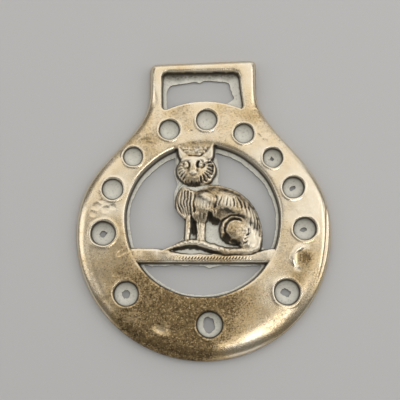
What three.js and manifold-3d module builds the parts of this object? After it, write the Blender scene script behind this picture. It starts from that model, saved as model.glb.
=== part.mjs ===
// A horse brass: one flat casting, lying on its back with its face up (+Z) and its strap hanger
// towards +Y. A round plate is pierced by a round window in which a cat sits on a ground bar, and
// twelve dimples are sunk round the rim. Millimetres; the origin is under the middle of its bounding box.
import * as THREE from 'three';
import { mergeVertices } from 'three/addons/utils/BufferGeometryUtils.js';
import Module from 'manifold-3d';

// Plate
const discRadius = 38.1;
const thickness = 3.8; // at the crown of the rim
const edgeHeight = 1.3; // upright part of the outer edge
const backRounding = 0.4; // where the outer edge meets the flat back
const pillowWidth = 4.4; // how far the rounded shoulder reaches in from the outer edge

// Hanger, its sides measured from the disc's middle line and its heights from the top of the disc
const hangerLeft = 16.3;
const hangerRight = 16.0;
const hangerRiseLeft = 14.0;
const hangerRiseRight = 15.3;
const cornerLeft = 2.6;
const cornerRight = 1.9;
const neckRise = 5.5; // where the shoulders become upright
const shoulderLeft = { leaves: 6.5, discPull: 19.2, neckPull: 16.0 }; // leaves: degrees above level
const shoulderRight = { leaves: 12, discPull: 16.0, neckPull: 12.0 };

// Strap slot
const sideBarLeft = 3.4;
const sideBarRight = 4.4;
const topBar = 3.1; // at the middle
const collar = 2.0; // metal between the disc's own circle and the slot
const slotCorner = 1.3;
const slotFlash = { left: 1.3, right: 2.2, top: 2.5, floor: 0.3 }; // thin fin left round the hole

// Window and its ground bar
const windowRadius = 23.3;
const windowX = -0.2;
const windowY = 3.4;
const wallDraft = 0.4; // how far a cast wall leans in on its way down
const flashHeight = 0.8; // thickness of the fins at the back
const flashWidth = 1.1;
const flashSwing = 0.6; // the fin is wider at the top of the window by this, and narrower below
const flashWander = 0.12; // how far the fin's edge strays
const barDrop = 12.5; // from the window's centre down to the bar's lower edge
const barWidth = 2.4;
const barHeight = 3.3;
const barSoftness = 0.45; // rounding of the bar's upper edges
const groundStep = 1.7; // the left end of the bar is this much broader, as ground in front of the tail
const endBite = 0.9; // how far the bar runs into the rim

// Dimples: turn in degrees from +X, out from the middle of the rim, size and hole as radii
const dimpleSides = 16;
const dimpleWall = 0.7; // upright part of a dimple's wall
const dimpleFloor = 0.7; // metal left under the deepest point
const dimples = [
  { turn: 88, out: 1.9, size: 3.2, hole: 0 },
  { turn: 109.5, out: 0.8, size: 3.15, hole: 0 },
  { turn: 67, out: 0.4, size: 3.1, hole: 0 },
  { turn: 135, out: -0.4, size: 3.0, hole: 0 },
  { turn: 45.5, out: -0.9, size: 3.05, hole: 0.5 },
  { turn: 157.5, out: -1.0, size: 3.25, hole: 0 },
  { turn: 24, out: -1.2, size: 3.35, hole: 0.55 },
  { turn: 184, out: -0.7, size: 3.75, hole: 0.7 },
  { turn: -1.5, out: -0.7, size: 3.5, hole: 0.6 },
  { turn: 221.5, out: -0.2, size: 3.8, hole: 1.1 },
  { turn: 321, out: 0.9, size: 3.9, hole: 1.25 },
  { turn: 273, out: -1.5, size: 4.0, hole: 2.0 },
];

// The cat is drawn on a grid whose squares are a millimetre at this size. Its origin is on the bar's
// upper edge, near the middle of the window.
const gridHeight = 33.4; // grid squares from the bar to the top of the window
const gridDepth = 5.3; // grid squares from the back to the muzzle
const gridShift = 0.2; // how far the grid's origin is right of the window's middle
const figureHeight = 5.3; // the muzzle above the back
const webHeight = 1.3; // the low ground behind the cat's legs and tail, in grid squares
const webMargin = 0.45; // how far the web stands out round the cat at the back, in grid squares

const barLow = windowY - barDrop;
const barTop = barLow + barWidth;
const gridSize = (windowY + windowRadius - barTop) / gridHeight;
const pastFace = 1; // how far a cutter runs on past the face it cuts

const degrees = THREE.MathUtils.degToRad;

const wasm = await Module();
wasm.setup();

// A closed three.js geometry as a solid: only its corners count, and flat slivers at poles are dropped.
function solid(geometry) {
  const bare = geometry.index ? geometry.toNonIndexed() : geometry.clone();
  bare.deleteAttribute('normal');
  bare.deleteAttribute('uv');
  const merged = mergeVertices(bare, 1e-4);
  const corners = merged.index.array;
  const triVerts = [];
  for (let i = 0; i < corners.length; i += 3) {
    const [a, b, c] = corners.slice(i, i + 3);
    if (a !== b && b !== c && c !== a) triVerts.push(a, b, c);
  }
  return new wasm.Manifold(new wasm.Mesh({
    numProp: 3,
    vertProperties: merged.attributes.position.array,
    triVerts: new Uint32Array(triVerts),
  }));
}

// A skin over stacked sections, each a ring of as many points, counter-clockwise seen from the last one.
function skin(sections, firstCap, lastCap) {
  const count = sections[0].length;
  const index = [];
  for (let start = 0; start < (sections.length - 1) * count; start += count) {
    for (let i = 0; i < count; i++) {
      const a = start + i;
      const b = start + ((i + 1) % count);
      index.push(a, b, b + count, a, b + count, a + count);
    }
  }
  const last = (sections.length - 1) * count;
  for (const [a, b, c] of firstCap) index.push(a, c, b);
  for (const [a, b, c] of lastCap) index.push(last + a, last + b, last + c);
  const geometry = new THREE.BufferGeometry();
  const corners = sections.flat().flatMap((p) => [p.x, p.y, p.z]);
  geometry.setAttribute('position', new THREE.Float32BufferAttribute(corners, 3));
  geometry.setIndex(index);
  return solid(geometry);
}

// A solid whose outline changes with height: levels are [height, outline points].
function loft(levels) {
  const sections = levels.map(([z, outline]) => outline.map((p) => new THREE.Vector3(p.x, p.y, z)));
  const capOf = ([, outline]) => THREE.ShapeUtils.triangulateShape(outline, []);
  return skin(sections, capOf(levels[0]), capOf(levels.at(-1)));
}

// The same outline moved inwards by a small distance; a negative distance moves it out.
function inward(outline, distance) {
  return outline.map((point, i) => {
    const before = outline.at(i - 1);
    const after = outline[(i + 1) % outline.length];
    const along = after.clone().sub(before).normalize();
    return new THREE.Vector2(point.x - along.y * distance, point.y + along.x * distance);
  });
}

// The outline of the whole brass, its disc and hanger, moved inwards by inset.
function brassOutline(inset) {
  const sharpest = 0.3; // the least rounding that is left at a corner
  const radius = discRadius - inset;
  const left = inset - hangerLeft;
  const right = hangerRight - inset;
  const neck = discRadius + neckRise;
  const topLeft = discRadius + hangerRiseLeft - inset;
  const topRight = discRadius + hangerRiseRight - inset;
  const roundLeft = Math.max(cornerLeft - inset, sharpest);
  const roundRight = Math.max(cornerRight - inset, sharpest);
  const path = new THREE.Path();
  const shoulder = (turn) => new THREE.Vector2(radius, 0).rotateAround(new THREE.Vector2(), turn);

  const leavesRight = degrees(shoulderRight.leaves);
  const start = shoulder(leavesRight);
  const tangent = new THREE.Vector2(-Math.sin(leavesRight), Math.cos(leavesRight));
  path.moveTo(start.x, start.y);
  path.bezierCurveTo(
    start.x + tangent.x * shoulderRight.discPull, start.y + tangent.y * shoulderRight.discPull,
    right, neck - shoulderRight.neckPull, right, neck,
  );
  path.lineTo(right, topRight - roundRight);
  path.quadraticCurveTo(right, topRight, right - roundRight, topRight);
  path.lineTo(left + roundLeft, topLeft);
  path.quadraticCurveTo(left, topLeft, left, topLeft - roundLeft);
  path.lineTo(left, neck);

  const leavesLeft = Math.PI - degrees(shoulderLeft.leaves);
  const end = shoulder(leavesLeft);
  const fall = new THREE.Vector2(-Math.sin(leavesLeft), Math.cos(leavesLeft));
  path.bezierCurveTo(
    left, neck - shoulderLeft.neckPull,
    end.x - fall.x * shoulderLeft.discPull, end.y - fall.y * shoulderLeft.discPull, end.x, end.y,
  );
  // the lower arc, in even steps, so that the two sides of the disc match
  const sweep = 2 * Math.PI + leavesRight - leavesLeft;
  const points = path.getPoints(10);
  const arcSteps = 46;
  for (let i = 1; i < arcSteps; i++) points.push(shoulder(leavesLeft + (sweep * i) / arcSteps));
  return points;
}

// The plate: a flat back, a short upright edge and a shoulder rounded like a quarter of an ellipse.
function plate() {
  const levels = [[0, brassOutline(backRounding)], [backRounding, brassOutline(0)]];
  const shoulderSteps = 3;
  for (let i = 0; i <= shoulderSteps; i++) {
    const rise = (i / shoulderSteps) * (Math.PI / 2);
    const z = edgeHeight + (thickness - edgeHeight) * Math.sin(rise);
    levels.push([z, brassOutline(pillowWidth * (1 - Math.cos(rise)))]);
  }
  return loft(levels);
}

// The strap slot's outline: straight sides, and a floor that follows the disc.
function slotOutline(insets) {
  const left = sideBarLeft - hangerLeft + insets.left;
  const right = hangerRight - sideBarRight - insets.right;
  const top = discRadius + (hangerRiseLeft + hangerRiseRight) / 2 - topBar - insets.top;
  const floorRadius = discRadius + collar + insets.floor;
  const floorTurn = (x) => Math.acos(x / floorRadius);
  const path = new THREE.Path();
  path.absarc(0, 0, floorRadius, floorTurn(left), floorTurn(right), true);
  path.lineTo(right, top - slotCorner);
  path.quadraticCurveTo(right, top, right - slotCorner, top);
  path.lineTo(left + slotCorner, top);
  path.quadraticCurveTo(left, top, left, top - slotCorner);
  return path.getPoints(7);
}

// What is cut away for the slot: a recess down to the fin, and the hole through the fin.
function slotCutters() {
  const draftAllRound = (draft) => ({ left: draft, right: draft, top: draft, floor: draft / 2 });
  const finInsets = Object.fromEntries(
    Object.entries(slotFlash).map(([side, width]) => [side, width + wallDraft]));
  const foot = slotOutline(draftAllRound(wallDraft));
  const mouth = slotOutline(draftAllRound(0));
  const hole = slotOutline(finInsets);
  return [
    loft([[flashHeight, foot], [thickness + pastFace, mouth]]),
    loft([[-pastFace, hole], [flashHeight + pastFace, hole]]),
  ];
}

// A round outline about the window's centre, whose radius may change with the angle.
function windowOutline(radiusAt, steps) {
  return Array.from({ length: steps }, (_, i) => {
    const turn = (2 * Math.PI * i) / steps;
    const radius = radiusAt(turn);
    return new THREE.Vector2(windowX + radius * Math.cos(turn), windowY + radius * Math.sin(turn));
  });
}

// What is cut away for the window. The hole in the fin wanders, as flash on a casting does.
function windowCutters() {
  const steps = 56;
  const foot = windowRadius - wallDraft;
  const recess = (radius) => windowOutline(() => radius, steps);
  const hole = windowOutline(
    (turn) => foot - flashWidth - flashSwing * Math.sin(turn) + flashWander * Math.sin(11 * turn), steps);
  return [
    loft([[flashHeight, recess(foot)], [thickness + pastFace, recess(windowRadius)]]),
    loft([[-pastFace, hole], [flashHeight + pastFace, hole]]),
  ];
}

// What is cut away for one dimple: a bowl, with a hole where the metal gave out at the bottom.
function dimpleCutter({ turn, out, size, hole }) {
  const pitch = (discRadius + windowRadius) / 2 + out;
  const bowlDepth = thickness - dimpleWall - dimpleFloor;
  const profile = [new THREE.Vector2(0, dimpleFloor)];
  for (const fall of [60, 30, 0]) {
    const reach = size * Math.cos(degrees(fall));
    profile.push(new THREE.Vector2(reach, thickness - dimpleWall - bowlDepth * Math.sin(degrees(fall))));
  }
  profile.push(new THREE.Vector2(size, thickness + pastFace), new THREE.Vector2(0, thickness + pastFace));
  const cutters = [solid(new THREE.LatheGeometry(profile, dimpleSides).rotateX(Math.PI / 2))];
  if (hole > 0) {
    const length = dimpleFloor + 2 * pastFace;
    const through = new THREE.CylinderGeometry(hole, hole, length, dimpleSides).rotateX(Math.PI / 2);
    cutters.push(solid(through.translate(0, 0, dimpleFloor / 2)));
  }
  const x = windowX / 2 + pitch * Math.cos(degrees(turn));
  const y = windowY / 2 + pitch * Math.sin(degrees(turn));
  return cutters.map((cutter) => cutter.translate([x, y, 0]));
}

// The ground bar, its ends sunk in the rim, its left end broader where the tail's tip lies down.
function groundBar() {
  const reach = windowRadius + endBite;
  const left = windowX - Math.sqrt(reach ** 2 - (barTop - windowY) ** 2);
  const right = windowX + Math.sqrt(reach ** 2 - (barTop - windowY) ** 2);
  const step = groundStep * gridSize;
  const upperEdge = new THREE.SplineCurve([
    new THREE.Vector2(right, barTop + step),
    new THREE.Vector2(right - 4 * gridSize, barTop + step * 0.9),
    new THREE.Vector2(right - 7 * gridSize, barTop + 0.1),
    new THREE.Vector2(0, barTop),
    new THREE.Vector2(-6 * gridSize, barTop + 0.1),
    new THREE.Vector2(-14 * gridSize, barTop + step),
    new THREE.Vector2(left, barTop + step),
  ]).getPoints(18);
  const outline = [new THREE.Vector2(left, barLow), new THREE.Vector2(right, barLow), ...upperEdge];
  return loft([
    [0, inward(outline, -wallDraft)],
    [flashHeight, inward(outline, -wallDraft)],
    [barHeight - barSoftness, outline],
    [barHeight, inward(outline, barSoftness)],
  ]);
}

// The web: the cat's outline, which stands out further at the back than at the front.
function catWeb() {
  const edge = new THREE.CatmullRomCurve3([
    [-13.2, 1.0], [-9.5, 2.1], [-6.3, 4.6], [-5.7, 6.2], [-5.2, 9.2], [-5.6, 11.1], [-7.6, 13.3],
    [-8.4, 16.2], [-8.3, 19.0], [-7.6, 21.4], [-8.0, 23.4], [-8.3, 25.6], [-7.9, 28.4], [-8.3, 31.2],
    [-6.5, 34.3], [2.5, 34.3], [3.1, 31.0], [3.9, 28.0], [4.2, 25.0], [4.0, 22.4], [5.0, 20.9],
    [8.5, 19.9], [11.2, 18.4], [13.4, 16.4], [15.2, 13.4], [16.5, 10.0], [17.1, 6.4], [17.1, 2.6],
    [18.5, 0.6], [12.0, -0.9], [0.0, -0.9], [-10.0, -0.6],
  ].map(([x, y]) => new THREE.Vector3(x, y, 0)), true, 'centripetal').getPoints(48);
  edge.pop(); // a closed curve repeats its first point
  const outline = edge.map((p) => new THREE.Vector2(p.x, p.y)).reverse();
  return loft([
    [0, inward(outline, -webMargin)],
    [flashHeight, inward(outline, -webMargin)],
    [webHeight, outline],
  ]);
}

// The cat's rounded forms: centre, half sizes, turn in degrees, height, and the height where the
// rounding starts.
const forms = {
  chest: { x: -5.8, y: 16.1, wide: 2.6, tall: 5.2, turn: -3, top: 4.1, wall: 1.9 },
  ruff: { x: -4.2, y: 20.0, wide: 3.9, tall: 2.2, turn: 8, top: 3.2, wall: 1.6 },
  torso: { x: 2.6, y: 15.6, wide: 7.2, tall: 5.3, turn: -12, top: 3.9, wall: 1.6 },
  shoulder: { x: -0.9, y: 15.2, wide: 3.5, tall: 5.0, turn: -6, top: 4.6, wall: 2.0 },
  flank: { x: 7.6, y: 14.6, wide: 5.9, tall: 4.9, turn: -28, top: 4.4, wall: 1.8 },
  rump: { x: 12.6, y: 8.2, wide: 4.2, tall: 8.3, turn: 12, top: 4.2, wall: 1.8 },
  seat: { x: 13.6, y: 3.0, wide: 3.4, tall: 3.6, turn: 0, top: 3.9, wall: 1.8 },
  haunch: { x: 9.3, y: 7.4, wide: 4.4, tall: 4.1, turn: -18, top: 4.7, wall: 2.6 },
  thigh: { x: 9.8, y: 7.2, wide: 3.2, tall: 3.3, turn: -18, top: 5.0, wall: 4.3 },
  foot: { x: 11.0, y: 3.7, wide: 3.2, tall: 1.2, turn: -10, top: 3.9, wall: 2.0 },
  head: { x: -2.2, y: 25.9, wide: 6.0, tall: 4.4, turn: 0, top: 4.2, wall: 2.0 },
  face: { x: -3.0, y: 25.6, wide: 4.9, tall: 4.0, turn: 0, top: 4.9, wall: 2.6 },
  brow: { x: -3.2, y: 28.4, wide: 3.7, tall: 1.5, turn: 0, top: 4.8, wall: 3.4 },
  nose: { x: -3.3, y: 26.2, wide: 1.2, tall: 2.2, turn: 0, top: 5.1, wall: 3.8 },
  muzzle: { x: -3.3, y: 24.4, wide: 1.9, tall: 1.3, turn: 0, top: 5.3, wall: 3.8 },
  chin: { x: -3.2, y: 22.5, wide: 2.6, tall: 1.2, turn: 0, top: 4.2, wall: 2.2 },
};

// The height of a rounded form at a place on the grid; 0 outside it.
function formHeight(form, x, y) {
  const place = new THREE.Vector2(x - form.x, y - form.y)
    .rotateAround(new THREE.Vector2(), -degrees(form.turn));
  const share = (place.x / form.wide) ** 2 + (place.y / form.tall) ** 2;
  return share >= 1 ? 0 : form.wall + (form.top - form.wall) * Math.sqrt(1 - share);
}

// The height of the bare cat, before its coat is laid on.
function bodyHeight(x, y) {
  return Math.max(webHeight, ...Object.values(forms).map((form) => formHeight(form, x, y)));
}

// A loaf: an upright wall and a domed top on an oval plan.
function loaf({ x, y, wide, tall, turn, top, wall }) {
  const sides = Math.max(wide, tall) > 2.5 ? 14 : 10;
  const profile = [new THREE.Vector2(0, 0), new THREE.Vector2(1.03, 0), new THREE.Vector2(1, wall)];
  for (const rise of [28, 56]) {
    const height = wall + (top - wall) * Math.sin(degrees(rise));
    profile.push(new THREE.Vector2(Math.cos(degrees(rise)), height));
  }
  profile.push(new THREE.Vector2(0, top));
  const geometry = new THREE.LatheGeometry(profile, sides).rotateX(Math.PI / 2).scale(wide, tall, 1);
  return solid(geometry.rotateZ(degrees(turn)).translate(x, y, 0));
}

// The tops of two ridge sections, from right to left: [side, share of the roof's fall].
const roundTop = [[1, 1], [0.6, 0.25], [0, 0], [-0.6, 0.25], [-1, 1]];
const sharpTop = [[1, 1], [0, 0], [-1, 1]];

// A ridge along a curve through places on the grid, with its width and height given along it.
function ridge(places, halfWidth, heightAt, steps, foot = 0, section = roundTop) {
  const thinnest = 0.06; // half the width left at a tip, in grid squares
  const line = new THREE.SplineCurve(places.map(([x, y]) => new THREE.Vector2(x, y)));
  const sections = [];
  for (let i = 0; i <= steps; i++) {
    const share = i / steps;
    const place = line.getPoint(share);
    const along = line.getTangent(share);
    const half = Math.max(halfWidth(share), thinnest);
    const height = Math.max(heightAt(share, place), foot + thinnest);
    const roof = Math.min(half * 0.9, (height - foot) * 0.6);
    const across = [[-1, foot], [1, foot], ...section.map(([side, fall]) => [side, height - roof * fall])];
    sections.push(across.map(([side, z]) =>
      new THREE.Vector3(place.x + along.y * half * side, place.y - along.x * half * side, z)));
  }
  const fan = section.map((_, i) => [0, i + 1, i + 2]);
  return skin(sections.reverse(), fan, fan);
}

// A lock of fur: a thin ridge that lies on the body and tapers at both ends.
function lock(places, width, rise) {
  const swell = (share) => Math.sin(Math.PI * (0.08 + 0.84 * share));
  return ridge(places, (share) => (width / 2) * swell(share),
    (share, place) => bodyHeight(place.x, place.y) + rise * (2 * swell(share) - 1), 4, 1, sharpTop);
}

// Repeats a curved lock by sliding it evenly from one line of places to another.
function comb(first, last, count, width, rise) {
  return Array.from({ length: count }, (_, i) => {
    const share = count > 1 ? i / (count - 1) : 0;
    const places = first.map(([x, y], k) => [x + (last[k][0] - x) * share, y + (last[k][1] - y) * share]);
    return lock(places, width, rise);
  });
}

// The coat: the mane on the chest, then the shoulder, the flank and the long hair down the back.
function coat() {
  return [
    ...comb(
      [[-7.6, 19.0], [-8.0, 15.5], [-7.2, 12.6]], [[-4.4, 20.0], [-4.4, 15.6], [-4.7, 11.6]], 5, 0.62, 0.42),
    ...comb([[-3.3, 17.6], [-3.6, 15.0], [-2.9, 11.8]], [[1.7, 18.4], [1.9, 15.2], [1.0, 11.9]], 5, 0.8, 0.3),
    ...comb([[4.2, 17.6], [4.7, 15.8], [4.5, 13.6]], [[10.0, 16.4], [10.6, 14.4], [10.2, 11.8]], 6, 0.75, 0.4),
    ...comb([[11.4, 14.6], [12.6, 11.5], [12.9, 8.0]], [[13.5, 15.0], [15.6, 10.5], [16.2, 4.5]], 4, 0.7, 0.36),
  ];
}

// Whisker pads: short ridges that spread from the muzzle over both cheeks, and the eyes between them.
function faceDetail() {
  const cheeks = [];
  const whiskerRoot = new THREE.Vector2(-3.1, 25.8);
  const whiskerCount = 5;
  for (const [from, to] of [[172, 238], [8, -58]]) {
    for (let i = 0; i < whiskerCount; i++) {
      const turn = degrees(from + ((to - from) * i) / (whiskerCount - 1));
      const place = (distance) => [
        whiskerRoot.x + distance * Math.cos(turn), whiskerRoot.y + distance * Math.sin(turn)];
      cheeks.push(lock([place(2.6), place(3.6), place(4.6)], 0.62, 0.32));
    }
  }
  const eyes = [[-5.3, 26.9], [-1.1, 27.1]].map(([x, y]) =>
    loaf({ x, y, wide: 0.95, tall: 0.9, turn: 0, top: 5.2, wall: 4.4 }));
  return [...cheeks, ...eyes];
}

// The ears stand out towards the rim, with low ground between them.
function ears() {
  const height = (share) => 4.3 - 0.8 * share;
  return [
    ridge([[-5.1, 28.9], [-6.4, 30.9], [-7.5, 33.2]], (share) => 1.35 - 0.5 * share, height, 3),
    ridge([[0.5, 28.9], [1.3, 30.9], [2.1, 33.8]], (share) => 1.75 - 0.7 * share, height, 3),
  ];
}

// The forelegs come down from the chest, the far one thinner and lower.
function forelegs() {
  return [
    ridge(
      [[-0.9, 12.4], [-1.0, 8.6], [-0.9, 3.8]], (share) => 1.45 - 0.3 * share, (share) => 3.7 - 0.6 * share, 4),
    ridge([[-4.8, 12.0], [-4.6, 8.4], [-5.0, 3.9]], () => 0.8, (share) => 3.1 - 0.5 * share, 4),
  ];
}

// The tail sweeps from the rump along the bar and dies out at its tip on the left.
function tail() {
  const line = [
    [16.2, 4.6], [14.6, 1.9], [10.0, 1.4], [5.0, 2.1], [0.0, 3.1], [-4.2, 3.4], [-8.0, 2.4], [-12.6, 0.9]];
  return ridge(line, (share) => 1.15 - 0.85 * share ** 3, (share) => 3.9 - 1.3 * share ** 2, 16);
}

// The whole cat, brought from its grid to its real size and place.
function cat() {
  const pieces = [
    catWeb(),
    ...Object.values(forms).map(loaf),
    ...ears(),
    ...forelegs(),
    tail(),
    ...coat(),
    ...faceDetail(),
  ];
  return wasm.Manifold.union(pieces)
    .scale([gridSize, gridSize, figureHeight / gridDepth])
    .translate([windowX + gridShift, barTop, 0]);
}

// The casting is joined up, then set with the middle of its bounding box over the origin.
function casting() {
  const cutters = [...slotCutters(), ...windowCutters(), ...dimples.flatMap(dimpleCutter)];
  const rim = plate().subtract(wasm.Manifold.union(cutters));
  const brass = wasm.Manifold.union([rim, groundBar(), cat()]);
  const { min, max } = brass.boundingBox();
  const centred = brass.translate([-(min[0] + max[0]) / 2, -(min[1] + max[1]) / 2, -min[2]]);
  const mesh = centred.getMesh();
  const geometry = new THREE.BufferGeometry();
  geometry.setAttribute('position', new THREE.BufferAttribute(mesh.vertProperties, mesh.numProp));
  geometry.setIndex(new THREE.BufferAttribute(mesh.triVerts, 1));
  return geometry;
}

const oldBrass = new THREE.MeshStandardMaterial({ color: 0xa98a55, roughness: 0.38, metalness: 1 });
const horseBrass = new THREE.Mesh(casting(), oldBrass);
horseBrass.name = 'horse_brass';

const group = new THREE.Group();
group.add(horseBrass);
export default group;
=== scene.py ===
# %% [markdown]
# # An old horse brass
#
# A horse brass is a flat ornament that a cart horse wore on its harness. This one is a single
# casting: a round plate with a strap hanger, pierced by a window in which a cat sits on a bar.
# The lesson makes it the way a founder's pattern is made. First comes a plain blank with its
# openings, then the relief is carved into its face, and last comes the finish of old metal.

# %% Load the model that the looks are built on
import bpy
import numpy as np
from math import pi, radians
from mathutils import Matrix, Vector


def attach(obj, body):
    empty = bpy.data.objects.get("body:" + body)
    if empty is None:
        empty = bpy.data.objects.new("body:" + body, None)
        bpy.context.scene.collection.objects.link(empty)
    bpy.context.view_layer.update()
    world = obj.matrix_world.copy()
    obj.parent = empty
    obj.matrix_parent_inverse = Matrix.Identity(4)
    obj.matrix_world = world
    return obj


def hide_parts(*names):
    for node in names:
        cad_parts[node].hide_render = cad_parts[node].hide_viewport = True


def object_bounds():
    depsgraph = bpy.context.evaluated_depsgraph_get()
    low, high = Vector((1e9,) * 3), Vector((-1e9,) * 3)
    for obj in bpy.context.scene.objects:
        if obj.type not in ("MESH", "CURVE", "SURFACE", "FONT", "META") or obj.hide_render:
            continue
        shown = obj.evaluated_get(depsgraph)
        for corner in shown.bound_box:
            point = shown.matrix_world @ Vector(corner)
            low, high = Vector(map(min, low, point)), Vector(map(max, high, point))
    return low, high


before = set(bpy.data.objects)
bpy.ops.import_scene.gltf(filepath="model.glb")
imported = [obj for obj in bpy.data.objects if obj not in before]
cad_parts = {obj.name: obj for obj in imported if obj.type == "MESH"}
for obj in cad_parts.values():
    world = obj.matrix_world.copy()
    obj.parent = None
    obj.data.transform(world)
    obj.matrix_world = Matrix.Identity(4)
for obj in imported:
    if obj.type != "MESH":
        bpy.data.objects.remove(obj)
bpy.ops.object.select_all(action="DESELECT")
cad_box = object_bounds()
print("CAD box in mm:", [[round(1000 * c, 2) for c in corner] for corner in cad_box])

# %% [markdown]
# ## Sizes
#
# The brass is drawn in millimetres from the middle of its round plate, which is easier to think
# in than metres from the middle of its box. The plate's lowest point touches the box, and that
# tells where the drawing's origin lies.

# %% Sizes, in millimetres from the middle of the plate
mm = 0.001
disc_radius = 38.05
thickness = 3.8
edge_height = 1.3
pillow_width = 4.4
window_radius = 23.3
window_x, window_y = -0.2, 3.4
bar_low = -9.1
fin_height = 0.75
origin_y = cad_box[0].y / mm + disc_radius
print(f"the plate's middle is {origin_y:.2f} mm along Y")

# %% Smooth noise for everything that a casting leaves uneven
stir_x, stir_y, stir_seed, stir_again = 374761393, 668265263, 974634777, 1274126177
low_bits = 0xFFFFFFFF


def lattice(ix, iy, seed):
    """A fixed random number from 0 to 1 for each whole place."""
    n = (ix.astype(np.int64) * stir_x + iy.astype(np.int64) * stir_y + seed * stir_seed) & low_bits
    n = ((n ^ (n >> 13)) * stir_again) & low_bits
    n = n ^ (n >> 16)
    return (n & 0xFFFFFF) / float(0xFFFFFF)


def noise(x, y, size, seed):
    """Rounded patches of about that size, from -1 to 1."""
    gx, gy = x / size, y / size
    ix, iy = np.floor(gx), np.floor(gy)
    fx, fy = gx - ix, gy - iy
    fx = fx ** 3 * (fx * (fx * 6 - 15) + 10)
    fy = fy ** 3 * (fy * (fy * 6 - 15) + 10)
    a, b = lattice(ix, iy, seed), lattice(ix + 1, iy, seed)
    c, d = lattice(ix, iy + 1, seed), lattice(ix + 1, iy + 1, seed)
    return 2 * (a + (b - a) * fx + (c - a) * fy + (a - b - c + d) * fx * fy) - 1


def rough(x, y, size, seed, octaves=3):
    """Noise with finer and finer grain laid over it."""
    total = sum(noise(x + 13.7 * k, y - 7.3 * k, size / 2 ** k, seed + k) / 2 ** k for k in range(octaves))
    return total / (2 - 2.0 ** (1 - octaves))


def smoothstep(x, low, high):
    """0 below low, 1 above high, and a soft rise between."""
    t = np.clip((x - low) / (high - low), 0, 1)
    return t * t * (3 - 2 * t)


print("noise at four places:", noise(np.arange(4.0), np.zeros(4), 3, 3).round(2))

# %% [markdown]
# ## Outlines
#
# Every edge that pierces the casting is an outline seen from above. An outline is worked out
# as a list of places: arcs and Bezier curves where the pattern was shaped by hand, and a
# little noise where thin metal ran into the joint of the mould and left a ragged fin.

# %% The outer outline
hanger_left, hanger_right = -16.3, 16.0
hanger_top_left, hanger_top_right = 52.1, 53.35
neck = 43.6


def bezier(p0, p1, p2, p3, steps):
    """Places along one Bezier curve."""
    t = np.linspace(0, 1, steps + 1)[:, None]
    p0, p1, p2, p3 = (np.array(p, float) for p in (p0, p1, p2, p3))
    return (1 - t) ** 3 * p0 + 3 * (1 - t) ** 2 * t * p1 + 3 * (1 - t) * t ** 2 * p2 + t ** 3 * p3


def brass_outline():
    """The round plate, drawn in at two shoulders to the strap hanger."""
    right_turn, left_turn = radians(12), pi - radians(6.5)
    right_pull, left_pull = (16.0, 12.0), (19.2, 16.0)
    corner_left, corner_right = 2.6, 1.9
    start = disc_radius * np.array([np.cos(right_turn), np.sin(right_turn)])
    end = disc_radius * np.array([np.cos(left_turn), np.sin(left_turn)])
    rise = np.array([-np.sin(right_turn), np.cos(right_turn)])
    fall = np.array([-np.sin(left_turn), np.cos(left_turn)])
    third = 1 / 3
    arc = np.linspace(left_turn, 2 * pi + right_turn, 300)[1:-1]
    return np.vstack([
        bezier(start, start + rise * right_pull[0],
               (hanger_right, neck - right_pull[1]), (hanger_right, neck), 60),
        bezier((hanger_right, hanger_top_right - corner_right),
               (hanger_right, hanger_top_right - third * corner_right),
               (hanger_right - third * corner_right, hanger_top_right),
               (hanger_right - corner_right, hanger_top_right), 12),
        bezier((hanger_left + corner_left, hanger_top_left),
               (hanger_left + third * corner_left, hanger_top_left),
               (hanger_left, hanger_top_left - third * corner_left),
               (hanger_left, hanger_top_left - corner_left), 12),
        bezier((hanger_left, neck), (hanger_left, neck - left_pull[1]),
               end - fall * left_pull[0], end, 60),
        disc_radius * np.column_stack([np.cos(arc), np.sin(arc)]),
    ])


def spline(points, steps=6, closed=False):
    """A smooth line through the points."""
    p = np.array(points, float)
    if closed:
        p = np.vstack([p[-1:], p, p[:2]])
    elif len(p) == 2:
        return p
    else:
        p = np.vstack([2 * p[0] - p[1], p, 2 * p[-1] - p[-2]])
    out = []
    for i in range(1, len(p) - 2):
        a, b, c, d = p[i - 1:i + 3]
        for t in np.linspace(0, 1, steps, endpoint=False):
            out.append(0.5 * (2 * b + (c - a) * t + (2 * a - 5 * b + 4 * c - d) * t ** 2
                              + (3 * b - a - 3 * c + d) * t ** 3))
    return np.array(out if closed else out + [p[-2]])


outline = brass_outline()
print("outer outline:", len(outline), "places")

# %% The outlines of the slot, the window and the cat's web
slot_floor, floor_radius = 40.1, 26.5


def floor_line(first, last, rise=0.0):
    """The slot's arched floor, from right to left."""
    x = np.linspace(first, last, 40)
    return np.column_stack([x, slot_floor + rise - (x - 0.5) ** 2 / (2 * floor_radius)])


def slot_outline():
    """The slot as cast: nearly straight sides over an arched floor, with rounded corners."""
    sides = [(-12.0, 37.5), (-12.7, 38.1), (-12.9, 39.2), (-12.95, 44), (-12.85, 48.4), (-12.3, 49.3),
             (-11.1, 49.75), (0, 49.85), (9.1, 50.0), (10.5, 49.5), (11.15, 48.3), (11.6, 44),
             (12.2, 39.6), (12.1, 38.4), (11.5, 37.75)]
    return np.vstack([floor_line(11.0, -11.5), sides])


def slot_hole():
    """The hole in the slot's fin, ragged where the metal broke out."""
    corners = [(-11.3, 39.2), (-11.3, 42.0), (-11.2, 44.0), (-10.4, 45.6), (-8.6, 46.2), (-5.5, 46.6),
               (-3.2, 47.0), (-1.2, 46.8), (0.4, 47.5), (3.5, 47.3), (6.9, 47.0), (8.0, 46.2), (8.3, 44.4),
               (8.9, 42.9), (9.3, 41.8), (8.5, 41.0), (7.3, 40.3)]
    line = np.vstack([floor_line(6.4, -10.9, 0.35), spline(corners, 10)])
    return line + 0.2 * np.column_stack([rough(line[:, 0], line[:, 1], 1.1, 81),
                                         rough(line[:, 0], line[:, 1], 1.1, 84)])


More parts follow.
